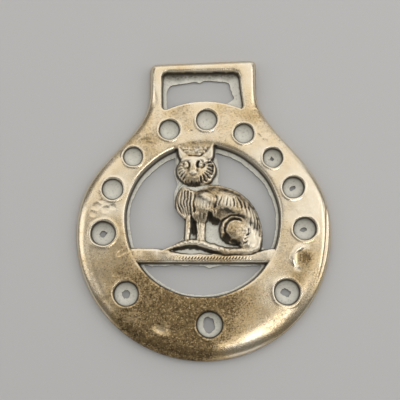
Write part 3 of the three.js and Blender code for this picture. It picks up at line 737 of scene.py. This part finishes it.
# %% The haunch, and the hollows under the belly
stroke(face, arc(9.4, 0.7, 3.15, 3.15, 40, 240, 9), 0.55, -0.65, 0.1, 0.15)
stroke(face, arc(9.2, 0.7, 4.45, 4.2, 30, 215, 9), 0.65, -0.55, 0.15, 0.1)
stroke(face, arc(9.3, 0.7, 3.8, 3.7, 40, 205, 9), 0.7, 0.28, 0.2, 0.2)
stroke(face, arc(9.4, 0.7, 2.5, 2.5, 40, 215, 9), 0.6, 0.22, 0.2, 0.2)
hollows = [  # x, y, half sizes, turn, depth
    (1.95, 4.5, 0.7, 1.5, 10, 1.7), (3.4, 3.1, 1.6, 1.2, -10, 2.2), (6.6, -1.9, 1.4, 1.1, -35, 1.2),
    (8.9, -3.0, 1.6, 0.7, -10, 1.2), (-2.95, 1.0, 0.8, 3.6, 2, 1.0)]
for x, y, wide, tall, turn, depth in hollows:
    at = near((x - 2, y - 3.5), (x + 2, y + 3.5), 0.5)
    out = oval(at, x, y, wide, tall, turn) + 0.3 * rough(X[at], Y[at], 0.9, 77)
    sunk = face[at] - depth * (1 - smoothstep(out, 0.3, 1.3))
    face[at] = np.maximum(sunk, np.minimum(face[at], 0.8))
for line in ([(2.5, 6.6), (2.9, 5.4), (2.7, 4.3)], [(3.4, 6.4), (3.7, 5.2), (3.4, 4.4)]):
    stroke(face, line, 0.7, 0.5, 0.1, 0.3)
comb(face, [(12.3, -1.3), (13.8, -0.7)], [(11.4, -4.0), (13.0, -3.5)], 6, 0.42, -0.6, 0.1, start=0.1, end=0.2)
comb(face, [(-1.8, 3.6), (-1.6, 0.5), (-1.6, -1.8)], [(0.0, 3.4), (-0.2, 0.5), (0.1, -1.8)], 3, 0.5, -0.35)
print("haunch:", len(hollows), "hollows round it and the legs")


# %% The granular ground between the ears and at the neck
def lumps(height, low, high, spacing, size, rise, inside):
    """Small grains on an uneven grid, as rough sand leaves in a hollow of the mould."""
    for i in range(int((high[0] - low[0]) / spacing)):
        for j in range(int((high[1] - low[1]) / spacing)):
            a, b, c = (float(lattice(np.array([i]), np.array([j]), seed)[0]) for seed in (401, 402, 403))
            x = low[0] + spacing * (i + 0.5 * (j % 2) + 0.5 * a)
            y = low[1] + spacing * (j + 0.5 * b)
            if inside(x, y):
                reach = size * (0.75 + 0.5 * c)
                at = near((x, y), (x, y), 1)
                out = oval(at, x, y, reach, reach)
                height[at] += rise * (0.6 + 0.8 * b) * np.clip(1 - out ** 2, 0, 1) ** 0.6


lumps(face, (-7.0, 23.5), (1.6, 26.4), 0.78, 0.42, 0.3, lambda x, y: abs(x + 2.7) < 1.6 + 0.9 * (y - 23))
lumps(face, (-7.2, 12.6), (0.6, 14.3), 0.7, 0.36, 0.22, lambda x, y: y > 12.9 + 0.3 * abs(x + 2.6))
print("between the ears the ground is", round(float(sample(face, -2.7, 25)), 2), "mm high")

# %% The tail's rings
tail = spline(tail_line, 12)
rings = np.linspace(50, len(tail) - 16, 13).astype(int)
for k in rings:
    ahead = tail[k + 1] - tail[k - 1]
    ahead /= np.hypot(*ahead)
    side = np.array([ahead[1], -ahead[0]])
    ring = [tail[k] + side * 0.9, tail[k] + side * 0.1 + ahead * 0.1, tail[k] - side * 0.4 + ahead * 0.2]
    stroke(face, ring, 0.36, -0.4, 0.05, 0.3)
print("tail:", len(rings), "rings")

# %% The relief stops at the window's wall, except for the ears
behind_rim = from_window < -0.15
ears = (Y > 24) & (np.abs(X + 2.6) < 5.9) & (face > without_cat)
face = np.where(behind_rim & ~ears, without_cat, face)
figure = smoothstep(from_web, -0.4, 0.2) * (from_window > -1) * smoothstep(Y + 0.02 * X, -7.0, -6.5)
wander_x = 0.20 * noise(X, Y, 1.7, 121) + 0.10 * noise(X, Y, 0.7, 122)
wander_y = 0.20 * noise(X, Y, 1.7, 123) + 0.10 * noise(X, Y, 0.7, 124)
on_body = figure * smoothstep(from_web, 0.3, 1.0)
face = sample(face, X + wander_x * on_body, Y + wander_y * on_body)
grainy = np.maximum(np.exp(-((X + 2) / 6) ** 2 - ((Y - 13.4) / 1.4) ** 2),
                    0.8 * np.exp(-((X + 2.7) / 3.4) ** 4 - ((Y - 25.0) / 1.8) ** 4))
belly = np.exp(-((X - 6.9) / 2.7) ** 4 - ((Y + 0.2 * X - 7.4) / 1.3) ** 4)
grainy = np.maximum(grainy, 1.6 * belly)
thigh_grain = np.exp(-(((X - 9.5) / 3) ** 2 + ((Y - 0.8) / 3) ** 2) ** 2)
leg_grain = np.exp(-((X + 2.2) / 4) ** 4 - ((Y - 1.5) / 4) ** 4)
face += figure * (0.06 + 0.16 * grainy + 0.18 * thigh_grain + 0.12 * leg_grain) * rough(X, Y, 0.75, 71)
face += figure * (blur(face, 0.12) - face)
wear = np.clip(0.15 + 0.6 * noise(X, Y, 2.4, 131), 0, 0.6) * (1 - 0.9 * np.clip(grainy + thigh_grain, 0, 1))
face += figure * wear * (blur(face, 0.3) - face)
print("relief:", round(face.min(), 2), "to", round(face.max(), 2), "mm high")

# %% [markdown]
# ## Carving
#
# The relief is laid on the clay by stretching it: a corner on the face goes to the relief's
# height, one on the back stays, and one on a wall moves in proportion. So the back stays flat
# and the walls stay upright.


# %% Stretch the clay to the relief
def corners_in_mm(piece):
    """Where the corners of a piece are, in millimetres."""
    places = np.empty(len(piece.data.vertices) * 3)
    piece.data.vertices.foreach_get("co", places)
    return places.reshape(-1, 3) / mm


places = corners_in_mm(brass)
height = sample(face, places[:, 0], places[:, 1] - origin_y)
places[:, 2] = np.clip(places[:, 2], 0, blank_height) / blank_height * height
brass.data.vertices.foreach_set("co", (places * mm).ravel())
brass.data.update()
print("carved: up to", round(float(places[:, 2].max()), 2), "mm high")

# %% [markdown]
# ## Thinning
#
# Flat places don't need the small faces that the fur needs. Decimating merges them where the
# surface hardly bends, which keeps the piece light.

# %% Decimate
most_triangles = 190000
triangles = 2 * len(brass.data.polygons)
thin = brass.modifiers.new("thin", "DECIMATE")
thin.ratio = min(1, most_triangles / triangles)
bpy.ops.object.modifier_apply(modifier="thin")
bpy.ops.object.select_all(action="DESELECT")
brass.select_set(True)
bpy.ops.object.shade_smooth_by_angle(angle=radians(60))
print("thinned:", sum(len(p.vertices) - 2 for p in brass.data.polygons), "triangles")

# %% [markdown]
# ## Where the old metal is dark, crusted or bright
#
# The finish follows the shape. Grooves hold dark dirt, and walls, their feet, recesses and
# rims get painted shade with it; the fins and bowls hold a pale crust of old polish, and
# ridges are rubbed bright, which also paints a highlight on them. Tarnish patches paint
# highlights and shade too. These are worked out once from the relief, and kept on the mesh
# as attributes that the material reads.

# %% Compare the relief with its blurred self
small_hollow = blur(face, 0.3) - face
wide_hollow = blur(face, 0.9) - face
slope_y, slope_x = np.gradient(face, step)
steep = np.hypot(slope_x, slope_y)
print("the steepest wall climbs", round(float(steep.max()), 1), "mm in each mm")

# %% Where the pale crust lies
in_opening = smoothstep(np.maximum(from_window, from_slot), 0.25, 0.6)
low_lying = 1 - smoothstep(face, 1.6, 2.3)
bowls, bowl_rim_shade = np.zeros_like(face), np.zeros_like(face)
for x, y, size, hole in dimples:
    at = near((x - size, y - size), (x + size, y + size), 1)
    out = oval(at, x, y, size, size)
    bowls[at] = np.maximum(bowls[at], 1 - smoothstep(out, 0.88, 0.97))
    # Painted shade in each bowl: a dark line on its wall and a darkening towards its rim
    rim_shade = 0.8 * np.exp(-((out - 0.965) / 0.045) ** 2) + 0.32 * smoothstep(out, 0.35, 0.95) * (out < 1)
    bowl_rim_shade[at] = np.maximum(bowl_rim_shade[at], rim_shade)
below_chin = 0.8 * np.exp(-((X + 2.5) / 1.8) ** 2)
neck_crust = np.exp(-((X + 2.8) / 4.8) ** 4 - ((Y - 13.9 + below_chin) / 0.85) ** 2)
ear_crust = np.exp(-((X + 2.7) / 3.4) ** 4 - ((Y - 25.0) / 1.7) ** 4) * (0.7 + 0.5 * rough(X, Y, 0.4, 73))
crust = np.maximum(in_opening * low_lying, bowls)
crust = np.clip(crust + 0.8 * neck_crust + 0.5 * ear_crust + 0.15 * belly, 0, 1)
print("crust covers", round(100 * float(crust[from_edge > 0].mean())), "% of the face")

# %% Where the dirt lies, and where shade is painted
everywhere = (slice(None), slice(None))
# Dirt in the grooves, and painted shade in broad hollows, on steep walls and at the window's rim
grime_and_shade = (smoothstep(small_hollow, 0.02, 0.16) * (1 - 0.75 * crust * (1 - smoothstep(small_hollow, 0.25, 0.6)))
         + smoothstep(wide_hollow, 0.15, 0.7) * 0.75 * (1 - crust)
         + smoothstep(steep, 1.2, 3.2) * (0.8 * figure + in_opening + (np.abs(from_window) < 0.6) * 0.6))
# A band of painted shade along the cat's back, where its top slopes away from the light
far_off = X[::2, ::2], Y[::2, ::2]
back_shade_band = outline_distance(np.array(back_edge + [(12, 4), (0, 9)]), *far_off)
back_shade_band = np.exp(-((back_shade_band - 0.35) / 0.8) ** 2)
back_shade_band = sample(back_shade_band, X, Y, grid_x[::2], grid_y[::2]) * (Y > -1) * (X + Y > 7.6)
grime_and_shade += bowl_rim_shade
# Painted shade in the recesses: under the chin, at the belly and haunch, and between the legs
shade = np.zeros_like(face)
shaded_recesses = [  # x, y, half sizes, turn, share
    (2.0, 4.6, 0.8, 1.5, 10, 1.0), (3.4, 3.2, 1.6, 1.2, -10, 1.0), (4.3, 5.0, 0.9, 1.0, 0, 0.45),
    (6.6, 6.1, 2.5, 1.0, -10, 0.5), (6.7, -2.0, 1.8, 1.4, -35, 1.0), (9.2, -3.1, 2.0, 0.9, -8, 1.0),
    (-0.9, 4.4, 2.2, 1.2, 0, 0.55), (-2.95, 1.0, 0.75, 3.3, 2, 1.0), (-2.9, 14.6, 2.9, 0.9, 0, 0.8),
    (8.6, -0.9, 1.4, 0.9, 20, 0.4), (-5.7, 8.3, 2.2, 4.8, 0, 0.2)]
for x, y, wide, tall, turn, deep in shaded_recesses:
    out = oval(everywhere, x, y, wide, tall, turn) + 0.45 * rough(X, Y, 1.0, 78)
    shade = np.maximum(shade, deep * (1 - smoothstep(out, 0.55, 1.15)))
# Painted shadow under the tail, along its lower edge
at, off, _ = along([(-8.8, -5.1), (-5.2, -4.65), (-1.6, -4.8), (1.7, -5.7), (4.9, -6.5)], 1.5)
shade[at] = np.maximum(shade[at], 1 - smoothstep(off + 0.3 * rough(X[at], Y[at], 1.0, 79), 0.2, 0.65))
# Darker towards the top of the slot's fin, just under the hanger's bar
slot_top_darkening = (from_slot > 0.1) * smoothstep(Y + 0.5 * noise(X, Y, 2.5, 55) - 0.02 * X, 46.6, 49.4)
grime_and_shade = grime_and_shade * (1 - 0.75 * neck_crust) * (1 - 0.3 * ear_crust)
crust = crust * (1 - 0.9 * shade * figure)
grime_and_shade += 0.8 * back_shade_band * (0.8 + 0.9 * rough(X, Y, 0.8, 57)) + 0.9 * slot_top_darkening * (1 + 0.5 * rough(X, Y, 0.3, 58))
grime_and_shade = np.clip(grime_and_shade + 1.0 * shade * figure, 0, 1) * smoothstep(from_edge, 0.1, 0.7)
print("grime covers", round(100 * float(grime_and_shade[from_edge > 0].mean())), "% of the face")

# %% Where the brass is tarnished, where it is rubbed bright, and where highlights and shade are painted
# Ridges rubbed bright, which also paints a highlight on them
rubbed_bright_and_highlit = smoothstep(-small_hollow, 0.0, 0.08)
radius = np.hypot(X, Y)
# The lower left is tarnished, and darkened further as painted shade
spread = 48 - 1.6 * (radius - 26)
lower_left = np.exp(-np.abs((around + 108) / spread) ** 3) * smoothstep(radius, 14, 20) * (Y < 2)
bottom_rim = np.exp(-((around + 100) / 18) ** 2 - ((radius - 34) / 4) ** 2)
tarnish_and_painted_light = 0.10 + 0.22 * rough(X, Y, 8, 59, 2) + 0.80 * lower_left + 0.2 * bottom_rim
tarnish_and_light_patches = [  # x, y, half sizes, and more tarnish or less; the lighter patches on the cat are painted highlights, and some darker ones paint shade
    (16, 34.5, 3, 3.5, 0.25), (-16, 28, 5, 2, 0.2), (27, -14, 3, 3, 0.25),
    (30.3, -7.9, 1.6, 1.7, 0.5), (29, -8, 4.5, 5, 0.2), (-1, 34, 13, 5, 0.22),
    (-12.6, -29.2, 3.4, 1.9, -0.9), (-26.5, -22.5, 4.5, 3, -0.3), (7, -34.5, 5, 2, -0.3),
    (-22, -26, 4, 2, -0.25), (-30, -13, 4, 6, 0.14), (-2.8, 21.4, 3.4, 1.3, -0.4),
    (-3.1, 17.9, 1.2, 0.9, -0.3), (0.2, 9.0, 2.6, 2.2, -0.45), (7.6, 9.4, 3.2, 1.6, -0.25),
    (3, -7.9, 11, 1.1, 0.3), (-6.8, 17.9, 1.5, 2.4, -0.35), (1.8, 18.3, 1.6, 2.6, -0.35),
    (-6.5, 24, 1.6, 1.8, -0.3), (1.9, 24.3, 1.5, 1.9, -0.3), (14.6, 0, 2.4, 6, -0.4),
    (-5.6, 8.6, 2.1, 4, -0.2), (4, -4.2, 8, 1.2, -0.3)]
for x, y, wide, tall, deep in tarnish_and_light_patches:
    tarnish_and_painted_light += deep * np.exp(-oval(everywhere, x, y, wide, tall) ** 2)
# A painted highlight along the C-shaped ridge, with painted shade round it
at, off, _ = along(c_ridge, 2)
tarnish_and_painted_light[at] -= 0.5 * np.exp(-(off / 0.8) ** 2)
tarnish_and_painted_light = np.clip(tarnish_and_painted_light + 0.30 * figure + 0.2 * lower_left * noise(X, Y, 5, 60), 0, 1)
print("tarnish covers", round(100 * float(tarnish_and_painted_light[from_edge > 0].mean())), "% of the face")

# %% Keep all of it on the mesh
spots = corners_in_mm(brass)
front = smoothstep(spots[:, 2], 0.02, 0.12)
normals = np.empty(spots.size)
brass.data.vertex_normals.foreach_get("vector", normals)
upright = 1 - smoothstep(np.abs(normals.reshape(-1, 3)[:, 2]), 0.3, 0.8)
spots_in = sample(from_edge, spots[:, 0], spots[:, 1] - origin_y)
inner = smoothstep(spots_in, 1.5, 2.5)
# Painted shade on the lower parts of the upright inner walls
wall_shade = 0.9 * upright * inner * (1 - smoothstep(spots[:, 2], 1.8, 3.2))
outer_wall = 1 - smoothstep(spots_in, 0.05, 0.4)
# The grime and tarnish attributes carry painted shade and painted highlights as well
on_back = {"tarnish_and_painted_light": 0.5, "grime_and_shade": 0.15}
fields = {"crust": crust, "grime_and_shade": grime_and_shade, "rubbed_bright_and_highlit": rubbed_bright_and_highlit, "tarnish_and_painted_light": tarnish_and_painted_light, "figure": figure}
for name, field in fields.items():
    values = sample(field, spots[:, 0], spots[:, 1] - origin_y) * front + on_back.get(name, 0) * (1 - front)
    if name == "grime_and_shade":
        values = np.maximum(values, wall_shade)
    if name == "tarnish_and_painted_light":
        values = np.maximum(values, 0.4 * outer_wall)
    attribute = brass.data.attributes.new(name, "FLOAT", "POINT")
    attribute.data.foreach_set("value", values.astype(np.float32))
    print(name, "is kept on", len(values), "corners")

# %% [markdown]
# ## Old brass
#
# Old brass is a metal with a skin. Under it the metal is gold, the skin is brown, and it is
# rubbed through where hands and cloths reach and where highlights are painted on, and thicker
# where shade is painted. The material mixes the two by noise and by the attributes, then lays
# grime with painted shade, and crust, over them. The maths is written as Python expressions
# on a small class, which adds one Math node for each operation.

# %% A value that makes nodes when it is calculated with
class Value:
    """An output socket that takes part in sums; each operation adds a Math node."""

    def __init__(self, tree, socket):
        self.tree, self.socket = tree, socket

    def math(self, operation, *others, clamp=False):
        node = self.tree.nodes.new("ShaderNodeMath")
        node.operation, node.use_clamp = operation, clamp
        for slot, value in zip(node.inputs, (self, *others)):
            put(self.tree, slot, value)
        return Value(self.tree, node.outputs[0])

    def __add__(self, other):
        return self.math("ADD", other)

    def __sub__(self, other):
        return self.math("SUBTRACT", other)

    def __rsub__(self, other):
        return (self * -1) + other

    def __mul__(self, other):
        return self.math("MULTIPLY", other)

    def __truediv__(self, other):
        return self.math("DIVIDE", other)

    __radd__, __rmul__ = __add__, __mul__

    def clip(self):
        return self.math("ADD", 0.0, clamp=True)

    def ramp(self, low, high):
        """0 below low, 1 above high."""
        return ((self - low) / (high - low)).clip()


def put(tree, slot, value):
    """Links a value to a socket, or sets the socket's own number or colour."""
    if isinstance(value, Value):
        tree.links.new(value.socket, slot)
    else:
        slot.default_value = value


class Finish:
    """A material whose nodes are added one call at a time."""

    def __init__(self, name):
        self.material = bpy.data.materials.new(name)
        self.material.use_nodes = True
        self.tree = self.material.node_tree
        self.shader = self.tree.nodes["Principled BSDF"]

    def node(self, kind, settings=None, output=0, **inputs):
        """Adds any node: its settings first, then its sockets by name, and gives one output."""
        node = self.tree.nodes.new("ShaderNode" + kind)
        for name, value in (settings or {}).items():
            setattr(node, name, value)
        for name, value in inputs.items():
            put(self.tree, node.inputs[name.replace("_", " ")], value)
        return Value(self.tree, node.outputs[output])

    def attribute(self, name):
        return self.node("Attribute", {"attribute_name": name}, output="Fac")

    def blend(self, first, second, share):
        """Mixes two colours."""
        node = self.tree.nodes.new("ShaderNodeMix")
        node.data_type = "RGBA"
        for slot, value in ((0, share), (6, first), (7, second)):
            put(self.tree, node.inputs[slot], value)
        return Value(self.tree, node.outputs[2])


# %% The colours of old brass
fresh_gold, deep_gold = (0.86, 0.775, 0.62, 1), (0.76, 0.58, 0.33, 1)
brown_skin, dark_skin = (0.30, 0.21, 0.10, 1), (0.10, 0.067, 0.033, 1)
pit_brown, glint_gold = (0.06, 0.04, 0.025, 1), (0.85, 0.68, 0.38, 1)
# The dark browns below paint both dirt and shade, on the metal and on the crust
dirt_and_shade_brown, stained_and_shaded_residue = (0.038, 0.029, 0.019, 1), (0.062, 0.046, 0.026, 1)
pale_residue, old_residue = (0.93, 0.915, 0.82, 1), (0.48, 0.44, 0.34, 1)
print("fresh gold:", fresh_gold[:3], "and its skin:", brown_skin[:3])

# %% The finish of the casting: its noises
old = Finish("old_brass")
place = old.node("TexCoord", output="Object")


def grain(size_mm, detail=3.0, roughness=0.55, distortion=0.0):
    """Noise whose patches are about that size, from 0 to 1."""
    return old.node("TexNoise", Vector=place, Scale=1 / (size_mm * mm), Detail=detail, Roughness=roughness,
                    Distortion=distortion)


# The grime, bright and tarnish attributes also carry painted shade and painted highlights
crusted, grimy_and_shaded, rub_and_highlight = (old.attribute(name) for name in ("crust", "grime_and_shade", "rubbed_bright_and_highlit"))
region, relief = (old.attribute(name) for name in ("tarnish_and_painted_light", "figure"))
clouds = grain(5, 4, 0.6)
mottle = grain(0.9, 4, 0.7)
specks = grain(0.45, 2, 0.6)
fine = grain(0.22, 2, 0.5)
print("noises and attributes:", len(old.tree.nodes), "nodes")

# %% The finish of the casting: gold, skin, dirt with painted shade, and crust
# Where the tarnish attribute paints highlights, the gold is paler and the skin thinner; where it paints
# shade, the skin is thicker
warm = (grain(6, 3).ramp(0.3, 0.7) * 0.6 + region * 2.0 - rub_and_highlight * 0.4 - relief * 0.35 - 0.1).clip()
gold = old.blend(fresh_gold, deep_gold, warm)
skin = old.blend(brown_skin, dark_skin, mottle.ramp(0.40, 0.66))
uneven = (clouds - 0.5) * 0.9 + (mottle - 0.5) * 0.8 + (specks - 0.5) * 0.8
skin_and_painted_light = (region * 1.4 + uneven * (0.4 + region) - rub_and_highlight * 0.35).ramp(0.2, 1.0)
metal = old.blend(gold, skin, skin_and_painted_light)
pits = specks.ramp(0.60, 0.68) * skin_and_painted_light * (1 - 0.6 * relief)
metal = old.blend(metal, pit_brown, pits * 0.85)
glints = specks.ramp(0.40, 0.32) * skin_and_painted_light
metal = old.blend(metal, glint_gold, glints * 0.65)
# Dirt and painted shade, laid as dark brown over the metal and the crust
dirt_and_shade = (grimy_and_shaded * (0.85 + 0.4 * mottle)).clip()
metal = old.blend(metal, dirt_and_shade_brown, dirt_and_shade * 0.95)
residue = old.blend(pale_residue, old_residue, grain(0.6, 4, 0.7).ramp(0.54, 0.76))
residue = old.blend(residue, stained_and_shaded_residue, (dirt_and_shade * 0.9).clip())
crust_here = (crusted * (1.2 - 0.5 * mottle)).ramp(0.25, 0.7)
put(old.tree, old.shader.inputs["Base Color"], old.blend(metal, residue, crust_here))
put(old.tree, old.shader.inputs["Metallic"], (1 - crust_here * 0.92 - dirt_and_shade * 0.5).clip())
put(old.tree, old.shader.inputs["Roughness"],
    (0.22 + 0.10 * relief + 0.16 * skin_and_painted_light + 0.28 * dirt_and_shade + 0.08 * fine + 0.45 * crust_here
     + 0.15 * pits).clip())
texture = (mottle * (0.35 + 0.8 * skin_and_painted_light + 0.5 * crusted + 0.4 * relief) - pits * 0.5
           + fine * 0.12 + grain(2.4, 3) * 0.8)
put(old.tree, old.shader.inputs["Normal"],
    old.node("Bump", Height=texture, Strength=0.4, Distance=0.1 * mm))
brass.data.materials.clear()
brass.data.materials.append(old.material)
print("old brass:", len(old.tree.nodes), "nodes")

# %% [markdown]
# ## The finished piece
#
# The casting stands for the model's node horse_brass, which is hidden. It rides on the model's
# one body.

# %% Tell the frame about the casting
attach(brass, "root")
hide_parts("horse_brass")
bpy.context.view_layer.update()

# %% [markdown]
# ## Floor, light and camera
#
# Polished metal shows what is round it, so the lights are wide and soft sheets: a large one
# overhead and one beyond the hanger, which fill the face, a small one near the lower right,
# which gives the long glint there, and weaker ones on the other sides.

# %% Floor
bpy.ops.object.select_all(action="DESELECT")
bpy.ops.mesh.primitive_plane_add(size=3, location=(0, 0, 0))
floor = bpy.context.object
floor.name = "floor"
pale = Finish("pale_floor")
pale.shader.inputs["Base Color"].default_value = (0.60, 0.60, 0.60, 1)
pale.shader.inputs["Roughness"].default_value = 0.8
floor.data.materials.append(pale.material)
print("floor:", round(floor.dimensions.x, 1), "m wide")


# %% Lights
def sheet_light(name, place, size, radiance, aim=None, turn=0.0, colour=(1, 1, 1)):
    """A rectangular soft light that lies flat overhead or looks at the brass."""
    lamp = bpy.data.lights.new(name, "AREA")
    lamp.shape, (lamp.size, lamp.size_y) = "RECTANGLE", size
    lamp.energy, lamp.color = radiance * pi * size[0] * size[1], colour
    item = bpy.data.objects.new(name, lamp)
    bpy.context.scene.collection.objects.link(item)
    item.location = place
    if aim is None:
        item.rotation_euler = (0, 0, radians(turn))
    else:
        item.rotation_euler = (Vector(aim) - Vector(place)).to_track_quat("-Z", "Y").to_euler()


middle = Vector((0, 0, 0))
sheet_light("sky_sheet", (0.16, 0.55, 0.7), (1.8, 1.0), 0.77, turn=-18, colour=(1, 0.985, 0.96))
sheet_light("far_sheet", (0.1, 1.2, 0.40), (2.2, 0.7), 0.75, aim=middle)
sheet_light("back_sheet", (-0.1, -1.1, 0.36), (1.8, 0.5), 0.5, aim=middle)
sheet_light("near_right_sheet", (0.17, -0.16, 0.60), (0.22, 0.18), 2.8)
sheet_light("near_left_sheet", (-0.32, -0.08, 0.56), (0.20, 0.28), 0.7)
sheet_light("right_sheet", (0.62, 0.02, 0.38), (0.5, 0.35), 1.2, aim=middle)
sheet_light("left_sheet", (-0.60, 0.05, 0.36), (0.4, 0.35), 1.2, aim=middle)
print("lights:", len(bpy.data.lights))

# %% The dim room round them
world = bpy.data.worlds.new("studio")
bpy.context.scene.world = world
world.use_nodes = True
world.node_tree.nodes["Background"].inputs["Color"].default_value = (0.95, 0.90, 0.82, 1)
world.node_tree.nodes["Background"].inputs["Strength"].default_value = 0.13

bpy.context.scene.view_settings.view_transform = "Standard"
bpy.context.scene.view_settings.exposure = 0.25
print("exposure:", round(bpy.context.scene.view_settings.exposure, 2))

# %% The camera, where the photographer's was
lens_px, frame_px, sensor = 1100, 400, 36
elevation, distance = radians(79), 330 * mm
target = Vector((-1.13, 9.85 + origin_y, 2.0)) * mm
camera = bpy.data.cameras.new("camera")
camera.sensor_width, camera.lens = sensor, sensor * lens_px / frame_px
camera.clip_start = 0.01
eye = bpy.data.objects.new("camera", camera)
bpy.context.scene.collection.objects.link(eye)
back = Vector((0, -np.cos(elevation), np.sin(elevation)))
eye.location = target + back * distance
eye.rotation_euler = back.to_track_quat("Z", "Y").to_euler()
bpy.context.scene.camera = eye
print("camera at", [round(c, 3) for c in eye.location])
